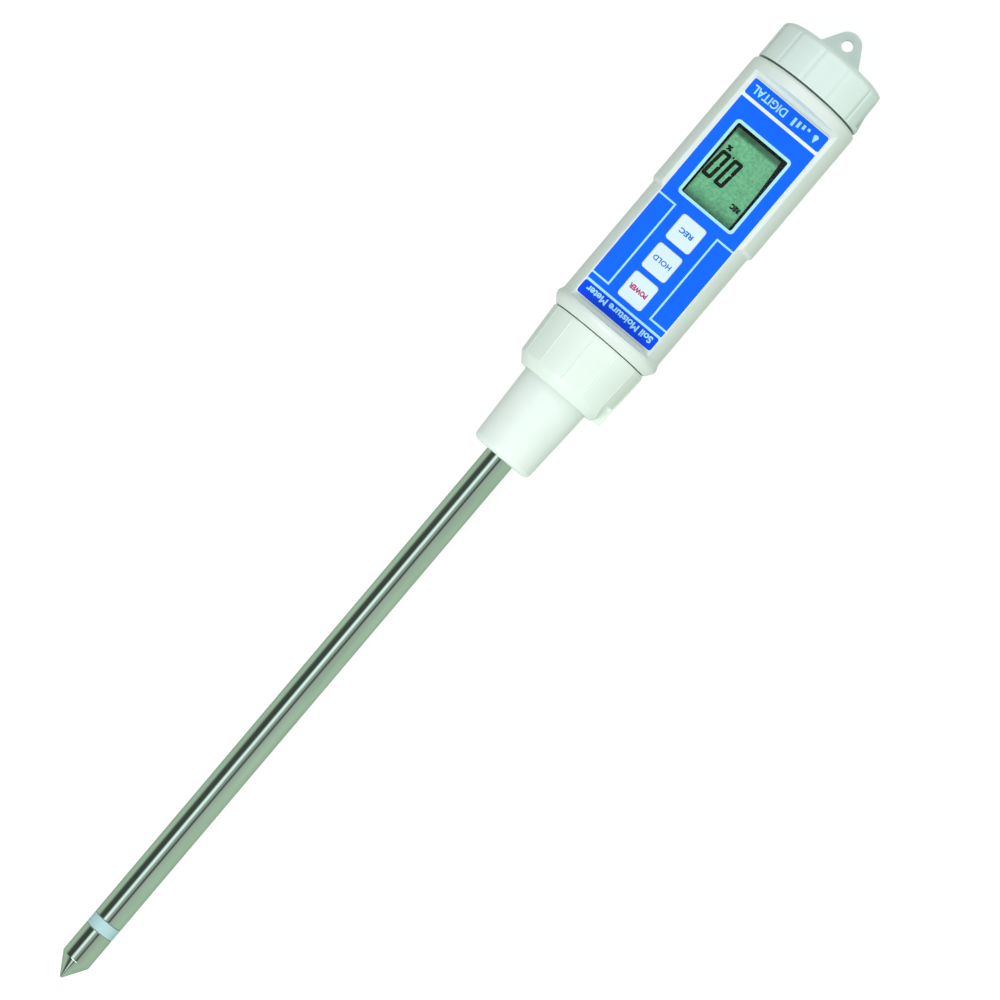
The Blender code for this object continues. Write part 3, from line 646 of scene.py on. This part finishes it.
def lug():
    """The flat loop on the cap, with rounded edges."""
    station, end_radius, hole_radius = 371.5, 4.5, 1.85
    flank, root = 31.0, CAP_END - 1.0
    end = arc((station, 0.0), end_radius, flank - 90, 90 - flank, 24)
    half_root = end[-1][1] + (end[-1][0] - root) * math.tan(math.radians(flank))
    hole = arc((station, 0.0), hole_radius, 0, 352.5, 47)
    loop = plate("lug", [end + [(root, half_root), (root, -half_root)], hole], (-1.2, 1.2))
    soften(loop, 0.3)
    return loop


def make_nut():
    angles = facet_angles(-2.0)
    outer = [(NUT_START, 13.5), (NUT_START + 0.08, 13.75), (NUT_START + 0.3, 13.97), (237.0, 16.22),
             (237.4, 16.42), (238.2, 16.62), (253.5, 17.7), (253.85, 17.6), (254.1, 17.35),
             (NUT_END, 17.0)]
    narrow, wide, start, length = 15.67, 17.24, 231.7, 24.5
    rings = []
    for station, radius in outer:
        apothem = narrow + (wide - narrow) * (station - start) / length
        rings.append((station, facet_radii(angles, radius, apothem)))
    bore = [(NUT_END, 15.1), (NUT_END - 0.2, 14.9), (241.6, 14.9), (241.6, 13.9), (236.2, 13.9),
            (236.2, 12.1), (NUT_START, 12.1)]
    rings += round_rings(angles, bore)
    nut = loft("coupling_nut_shell", rings, angles, closed=True, sharp=FACET_SHARP)
    notch = block("notch", (228.0, 240.6), (-25, -14.6), (-0.9, 9.5), 1.6)
    combine(nut, notch, "DIFFERENCE", FACET_SHARP)
    rib = [(253.6, -15.6), (253.6, -17.45), (253.3, -17.6), (234.6, -16.92), (234.25, -16.8),
           (234.1, -16.5), (234.1, -12.6), (240.0, -15.4)]
    combine(nut, plate("rib", [rib], (-2.3, -1.0)), "UNION", FACET_SHARP)
    combine(nut, thread(NUT_THREAD + PITCH / 2, 1.0, 15.2, 14.1), "UNION", FACET_SHARP)
    dress(nut, "nut", "coupling_nut", "nut_plastic", "coupling_nut")


# Probe

def make_probe():
    foot = 2.1
    boss = [(249.0, 3.0), (249.0, 11.2), (248.6, 11.6), (246.4, 11.6), (246.4, 10.6), (245.0, 10.6),
            (245.0, 11.6), (240.05, 11.6), (240.05, 13.5), (237.55, 13.5), (237.55, 11.7),
            (NUT_START, 11.7)]
    boss += arc((207.4 + foot, 10.62 - foot), foot, 90, 180, 12)
    boss += [(207.4, 5.7), (207.55, 5.35), (208.0, 5.18), (246.3, 5.18), (246.3, 3.0)]
    dress(turned("probe_boss", boss, closed=True), "boss", "handle", "holder_plastic", "probe_holder")
    tube = [(246.0, 3.9), (246.0, TUBE_RADIUS), (22.6 + EDGE, TUBE_RADIUS), (22.6, TUBE_RADIUS - EDGE),
            (22.6, 3.9)]
    dress(turned("probe_tube_polished", tube, closed=True), "steel", "handle", "probe_steel", "probe_tube")
    ring = [(29.0, 3.2), (29.0, 3.6), (22.5, 3.6), (22.5, TUBE_RADIUS - EDGE), (22.5 - EDGE, TUBE_RADIUS),
            (18.5 + EDGE, TUBE_RADIUS), (18.5, TUBE_RADIUS - EDGE), (18.5, 3.2)]
    dress(turned("nose_ring", ring, closed=True), "ring", "handle", "ring_plastic", "insulator_ring")
    make_tip()


def make_tip():
    """The cone, with its blunt nose and a hair-thin chamfer where it meets the round part."""
    half_angle, nose, shoulder = 32.0, 0.6, 0.03
    lean = math.radians(half_angle)
    base = TUBE_RADIUS / math.tan(lean) - nose / math.sin(lean) + nose
    tip = [(31.0, 2.9), (18.4, 2.9), (18.4, TUBE_RADIUS - EDGE), (18.4 - EDGE, TUBE_RADIUS),
           (base + shoulder, TUBE_RADIUS), (base - shoulder, TUBE_RADIUS - shoulder * math.tan(lean))]
    tip += [(max(station, 0.002), radius) for station, radius in
            arc((nose, 0.0), nose, 90 + half_angle, 178, 6)]
    dress(turned("probe_point", tip, sharp=12.0), "tip", "handle", "tip_steel", "probe_tip")


# Label

def lettering(name, text, middle, size, levels, look, body, slot, weight):
    """Words that read towards +Y with their tops towards the probe.

    middle is (station, side), size is (width, height), and weight thickens the strokes.
    """
    curve = bpy.data.curves.new(name, "FONT")
    curve.body = text
    curve.size = 1.0
    curve.extrude = 0.5
    curve.bevel_depth = weight
    curve.bevel_resolution = 0
    curve.resolution_u = 4
    obj = bpy.data.objects.new(name + "_curve", curve)
    bpy.context.scene.collection.objects.link(obj)
    words = mesh_of(obj, name)
    points = [vert.co for vert in words.data.vertices]
    low = [min(point[axis] for point in points) for axis in range(2)]
    high = [max(point[axis] for point in points) for axis in range(2)]
    for vert in words.data.vertices:
        across = (vert.co.x - (low[0] + high[0]) / 2) / (high[0] - low[0]) * size[0]
        up = (vert.co.y - (low[1] + high[1]) / 2) / (high[1] - low[1]) * size[1]
        level = levels[1] if vert.co.z > 0 else levels[0]
        vert.co = at(middle[0] - up, middle[1] + across, level)
    dress(words, look, body, slot)


def print_layer(name, outlines, look, step):
    """A printed area that stands a few hundredths above the film."""
    layer = plate(name, outlines, (LABEL_TOP - 0.06, LABEL_TOP + 0.012 * step))
    dress(layer, look, "handle", "label_film")


def make_label():
    """The white film, its three blue areas, the border of the window and the rule below the keys."""
    gap = 0.06
    key_holes = [key_outline(station, KEY_HALF[0] + gap, KEY_HALF[1] + gap, KEY_CORNER + gap)
                 for station in KEYS.values()]
    outline = rounded_rectangle((LABEL_START, LABEL_END), (-LABEL_HALF, LABEL_HALF), 1.0)
    film = plate("label_film", [outline, window_outline(0.0, 0.6)] + key_holes, (LABEL_BASE, LABEL_TOP))
    dress(film, "film", "handle", "label_film", "label_overlay")
    half = LABEL_HALF - 0.35
    bottom_end, main_start, main_end, top_start = 265.7, 266.4, 338.45, 339.55
    top_band = rounded_rectangle((top_start, LABEL_END - 0.3), (-half, half), 0.7)
    print_layer("label_top_band", [top_band], "blue", 1)
    main = rounded_rectangle((main_start, main_end), (-half, half), 0.12)
    print_layer("label_main_blue", [main, window_outline(1.0, 1.4)] + key_holes, "blue", 1)
    print_layer("window_border", [window_outline(0.97, 1.4), window_outline(0.02, 0.6)], "border", 2)
    bottom = rounded_rectangle((LABEL_START + 0.3, bottom_end), (-half, half), 0.8)
    print_layer("label_bottom_band", [bottom], "deep_blue", 1)
    low, high = bottom_end - 0.05, main_start + 0.05
    rule = [(low, -half), (high, -half), (high, half), (low, half)]
    print_layer("label_rule", [rule], "line", 2)
    make_brackets(half)
    make_words()


def make_brackets(half):
    """Two square brackets that frame the keys from both sides."""
    line, low, high, inner = 0.62, 268.7, 300.0, 8.0
    for name, sign in (("left", 1), ("right", -1)):
        outline = [(low - line / 2, half), (low - line / 2, inner), (high + line / 2, inner),
                   (high + line / 2, half), (high - line / 2, half), (high - line / 2, inner + line),
                   (low + line / 2, inner + line), (low + line / 2, half)]
        outline = [(station, sign * side) for station, side in outline]
        print_layer("key_bracket_" + name, [outline], "line", 2)


def make_words():
    levels = (LABEL_TOP - 0.05, LABEL_TOP + 0.03)
    lettering("title_words", "Soil Moisture Meter", (263.75, -0.1), (25.6, 2.35), levels,
              "line", "handle", "label_film", 0.03)
    lettering("type_word", "DIGITAL", (342.35, 6.65), (12.7, 2.85), levels,
              "line", "handle", "label_film", 0.02)
    make_emblem()


def make_emblem():
    """A water drop beside four rising bars."""
    drop_side, foot, width = -11.2, 343.6, 0.9
    drop = arc((342.6, drop_side), 0.95, -75, 75, 16) + [(340.75, drop_side)]
    bars = []
    for count in range(4):
        side = -8.6 + 1.75 * count
        top = foot - (0.9 + 0.65 * count)
        bars.append([(foot, side), (top, side), (top, side + width), (foot, side + width)])
    print_layer("drop_and_bars", [drop] + bars, "line", 2)


# Keys

def make_key(key, word, width, look, weight):
    """A key with its flange below and a rounded edge round its top, and the word on it."""
    low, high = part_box(key + "_button")
    station = KEYS[key]
    top, bottom = level_of(high.z), level_of(low.z)
    half_length, half_width = KEY_HALF
    edge, flange, flange_top = 0.34, 0.55, bottom + 0.8
    sections = [(bottom, flange, KEY_CORNER), (flange_top, flange, KEY_CORNER),
                (flange_top, 0.0, KEY_CORNER), (top - edge, 0.0, KEY_CORNER)]
    for step in range(1, 7):
        turn = math.radians(15 * step)
        inset = edge * (1 - math.cos(turn))
        sections.append((top - edge + (edge - 0.05) * math.sin(turn), -inset, KEY_CORNER - inset * 0.6))
    sections.append((top, -half_width * 0.45, 0.3))
    work = bmesh.new()
    loops = []
    for level, grow, corner in sections:
        outline = key_outline(station, half_length + grow, half_width + grow, corner)
        loops.append([work.verts.new(at(place, side, level)) for place, side in outline])
    join_loops(work, loops)
    body = key + "_key"
    dress(new_object(key + "_key_top", work, 50.0), "key", body, "key_plastic", key + "_button")
    lettering(key + "_word", word, (station, 0.0), (width, 1.74), (top - 0.3, top + 0.02), look, body,
              "key_plastic", weight)


# Display

def zero(left, right, top, stroke):
    """A seven-bar zero as a ring, with notches at half its height where the bars meet."""
    middle, corner, notch = top / 2, 0.85, 0.35
    outer = []
    for across, up, start in ((right - corner, top - corner, 0), (left + corner, top - corner, 90),
                              (left + corner, corner, 180), (right - corner, corner, 270)):
        outer += arc((across, up), corner, start, start + 90, 4)
    outer[10:10] = [(left, middle + notch), (left + 0.1, middle), (left, middle - notch)]
    outer += [(right, middle - notch), (right - 0.1, middle), (right, middle + notch)]
    left, right = left + stroke, right - stroke
    inner = [(right, top - stroke), (left, top - stroke), (left, middle + notch), (left - 0.6, middle),
             (left, middle - notch), (left, stroke), (right, stroke), (right, middle - notch),
             (right + 0.25, middle), (right, middle + notch)]
    return [outer, inner]


def make_display():
    glass = NODES["display_glass"]
    glass.data.materials.clear()
    glass.data.materials.append(LOOKS["glass"])
    slant, baseline, height, stroke = math.tan(math.radians(5.0)), 322.55, 9.85, 1.18
    shapes = zero(-0.04, 3.5, height, stroke) + zero(4.54, 8.2, height, stroke)
    shapes.append([(3.74, 0.0), (4.3, 0.0), (4.3, 0.6), (3.74, 0.6)])      # the decimal point
    outlines = []
    for shape in shapes:
        outlines.append([(baseline - up, across + up * slant) for across, up in shape])
    levels = (GLASS_TOP - 0.02, GLASS_TOP + 0.03)
    dress(plate("display_digits", outlines, levels), "segment", "handle", "display_glass")
    lettering("display_rec", "REC", (310.8, -6.2), (3.3, 1.85), levels,
              "segment", "handle", "display_glass", 0.075)
    lettering("display_percent", "%", (323.9, 6.85), (1.9, 1.75), levels,
              "segment", "handle", "display_glass", 0.07)
    make_mask_and_shadow()
    sides = (-WINDOW_HALF - 0.3, WINDOW_HALF + 0.3)
    pane = block("window_pane", (WINDOW[0] - 0.3, WINDOW[1] + 0.3), sides, PANE_LEVELS, 0.12)
    dress(pane, "pane", "handle", "window_clear", "display_window")


def make_mask_and_shadow():
    """The dark frame under the pane: the cell's black border, widened into painted shadow along the right
    side and the top.
    """
    low, bend, high = WINDOW[0] + 0.35, 318.0, WINDOW[1] - 0.9
    right, left = -WINDOW_HALF, WINDOW_HALF
    # painted shadow: the opening stands farther in at the right side and the top, where the window's edges
    # cast shade
    opening = [(low, right + 0.95), (low, left - 0.55), (high, left - 0.8), (high, right + 1.95),
               (bend, right + 1.1)]
    levels = (PANE_LEVELS[0] - 0.3, PANE_LEVELS[0] - 0.06)
    mask_and_shadow = plate("display_mask_and_shadow", [window_outline(0.5, 0.6), opening], levels)
    dress(mask_and_shadow, "mask_and_shadow", "handle", "black_plastic")


# Parts inside the handle, and the small rings: the colour, roughness and metallic value of each

INNER_LOOKS = {
    "cap_gasket": ((0.03, 0.03, 0.03), 0.7, 0.0),
    "slip_washer": ((0.62, 0.62, 0.58), 0.4, 0.0),
    "probe_o_ring": ((0.03, 0.03, 0.03), 0.65, 0.0),
    "main_board": ((0.03, 0.20, 0.08), 0.35, 0.0),
    "battery_carrier": ((0.03, 0.03, 0.032), 0.5, 0.0),
    "microcontroller": ((0.02, 0.02, 0.02), 0.45, 0.0),
    "amplifier_chip": ((0.02, 0.02, 0.02), 0.45, 0.0),
    "quartz_crystal": ((0.62, 0.62, 0.60), 0.25, 1.0),
    "calibration_trimmer": ((0.03, 0.12, 0.50), 0.45, 0.0),
    "display_holder": ((0.06, 0.06, 0.06), 0.55, 0.0),
    "display_reflector": ((0.60, 0.64, 0.60), 0.35, 0.0),
    "lower_zebra_strip": ((0.65, 0.25, 0.42), 0.6, 0.0),
    "upper_zebra_strip": ((0.65, 0.25, 0.42), 0.6, 0.0),
    "tip_lead": ((0.55, 0.04, 0.03), 0.45, 0.0),
    "positive_lead": ((0.55, 0.04, 0.03), 0.45, 0.0),
    "tube_lead": ((0.03, 0.03, 0.035), 0.45, 0.0),
    "negative_lead": ((0.03, 0.03, 0.035), 0.45, 0.0),
}


def dress_inner_parts():
    """Every CAD node that still shows gets a worked material."""
    for name, node in NODES.items():
        if node.hide_render or name == "display_glass":
            continue
        if name in INNER_LOOKS:
            look = INNER_LOOKS[name]
        elif name.startswith("battery_"):
            look = ((0.08, 0.18, 0.12), 0.3, 0.3)
        elif "screw" in name or "contact" in name:
            look = ((0.60, 0.60, 0.58), 0.3, 1.0)
        else:
            look = ((0.05, 0.05, 0.05), 0.5, 0.0)
        node.data.materials.clear()
        node.data.materials.append(plain_part(name + "_look", *look))


# Studio

def make_floor():
    reach, drop = 6.0, 0.0004
    work = bmesh.new()
    bmesh.ops.create_grid(work, x_segments=2, y_segments=2, size=reach)
    floor = new_object("studio_floor", work)
    surface = Surface("floor_white", (0.3, 0.3, 0.3), 0.9)
    surface.vary_colour(surface.noise(3.0, 2.0), (0.29, 0.29, 0.29))
    surface.set(Emission_Color=(1.0, 1.0, 1.0, 1.0), Emission_Strength=0.78)
    floor.data.materials.append(surface.material)
    floor.visible_diffuse = False      # the meter is lit by the room, not by the white floor
    floor.visible_glossy = False
    floor.location = (0.0, 0.0, CAD_LOW.z - drop)


def area_light(name, place, power):
    """A square softbox aimed at the handle."""
    light = bpy.data.lights.new(name, "AREA")
    light.shape = "RECTANGLE"
    light.size, light.size_y = 1.4, 1.4
    light.energy = power
    obj = bpy.data.objects.new(name, light)
    bpy.context.scene.collection.objects.link(obj)
    obj.location = place
    target = Vector((0.05, 0.0, 0.0))
    obj.rotation_euler = (target - Vector(place)).to_track_quat("-Z", "Y").to_euler()


def room_tint(degrees):
    """Greenish low down at both sides, bluish in the bright band."""
    if abs(degrees) > 75:
        return (0.96, 1.07, 0.94)
    if 15 <= degrees <= 25:
        return (0.97, 1.0, 1.12)
    return (1.0, 1.0, 1.0)


def studio_world():
    """A grey room with one bright and two dark bands that run along the meter."""
    world = bpy.data.worlds.new("studio")
    bpy.context.scene.world = world
    world.use_nodes = True
    tree = world.node_tree
    place = tree.nodes.new("ShaderNodeTexCoord").outputs["Generated"]
    parts = tree.nodes.new("ShaderNodeSeparateXYZ")
    tree.links.new(place, parts.inputs["Vector"])
    angle = tree.nodes.new("ShaderNodeMath")
    angle.operation = "ARCTAN2"
    tree.links.new(parts.outputs["Y"], angle.inputs[0])
    tree.links.new(parts.outputs["Z"], angle.inputs[1])
    share = tree.nodes.new("ShaderNodeMapRange")
    share.inputs["From Min"].default_value = -math.pi
    share.inputs["From Max"].default_value = math.pi
    tree.links.new(angle.outputs[0], share.inputs["Value"])
    ramp = tree.nodes.new("ShaderNodeValToRGB")
    tree.links.new(share.outputs["Result"], ramp.inputs["Fac"])
    # degrees from straight up towards the left, and the light from there
    stops = ((-180, 0.5), (-80, 0.5), (-26, 0.42), (-20, 0.2), (-16, 0.05), (-11, 0.05), (-7, 0.25),
             (0, 0.32), (9, 0.42), (15, 1.04), (25, 1.04), (31, 0.45), (36, 0.06), (66, 0.06), (78, 0.2),
             (86, 0.45), (100, 0.5))
    elements = ramp.color_ramp.elements
    while len(elements) < len(stops):
        elements.new(0.5)
    for element, (degrees, light) in zip(elements, stops):
        element.position = (degrees + 180.0) / 360.0
    for element, (degrees, light) in zip(elements, stops):
        element.color = (*(light * channel for channel in room_tint(degrees)), 1.0)
    background = tree.nodes["Background"]
    background.inputs["Strength"].default_value = 1.3
    tree.links.new(ramp.outputs["Color"], background.inputs["Color"])


def make_lights():
    studio_world()
    area_light("key_softbox", (-1.4, 0.0, 1.6), 32.0)
    area_light("end_fill", (1.6, 0.0, 1.6), 15.0)


def make_camera():
    """The photograph's view: from in front of the label, tipped a little to the right side."""
    roll, distance = math.radians(49.78), 1.3
    tilt = Matrix.Rotation(math.radians(2.7), 3, "X")
    right = tilt @ Vector((math.cos(roll), -math.sin(roll), 0.0))
    up = tilt @ Vector((math.sin(roll), math.cos(roll), 0.0))
    back = tilt @ Vector((0.0, 0.0, 1.0))
    target = at(197.6, 0.0, 0.0) + tilt @ Vector((0.0, -8.4 * MM, 0.0))
    data = bpy.data.cameras.new("camera")
    data.lens = 153.5
    data.sensor_width = 36.0
    data.clip_start = 0.01
    camera = bpy.data.objects.new("camera", data)
    bpy.context.scene.collection.objects.link(camera)
    turn = Matrix((right, up, back)).transposed().to_4x4()
    camera.matrix_world = Matrix.Translation(target + back * distance) @ turn
    bpy.context.scene.camera = camera


make_handle()
make_cap()
make_nut()
make_probe()
make_label()
make_key("power", "POWER", 6.55, "red_ink", 0.045)
make_key("hold", "HOLD", 6.5, "blue_ink", 0.025)
make_key("record", "REC", 4.9, "blue_ink", 0.04)
make_display()
dress_inner_parts()
make_floor()
make_lights()
make_camera()
bpy.context.scene.view_settings.view_transform = "Standard"
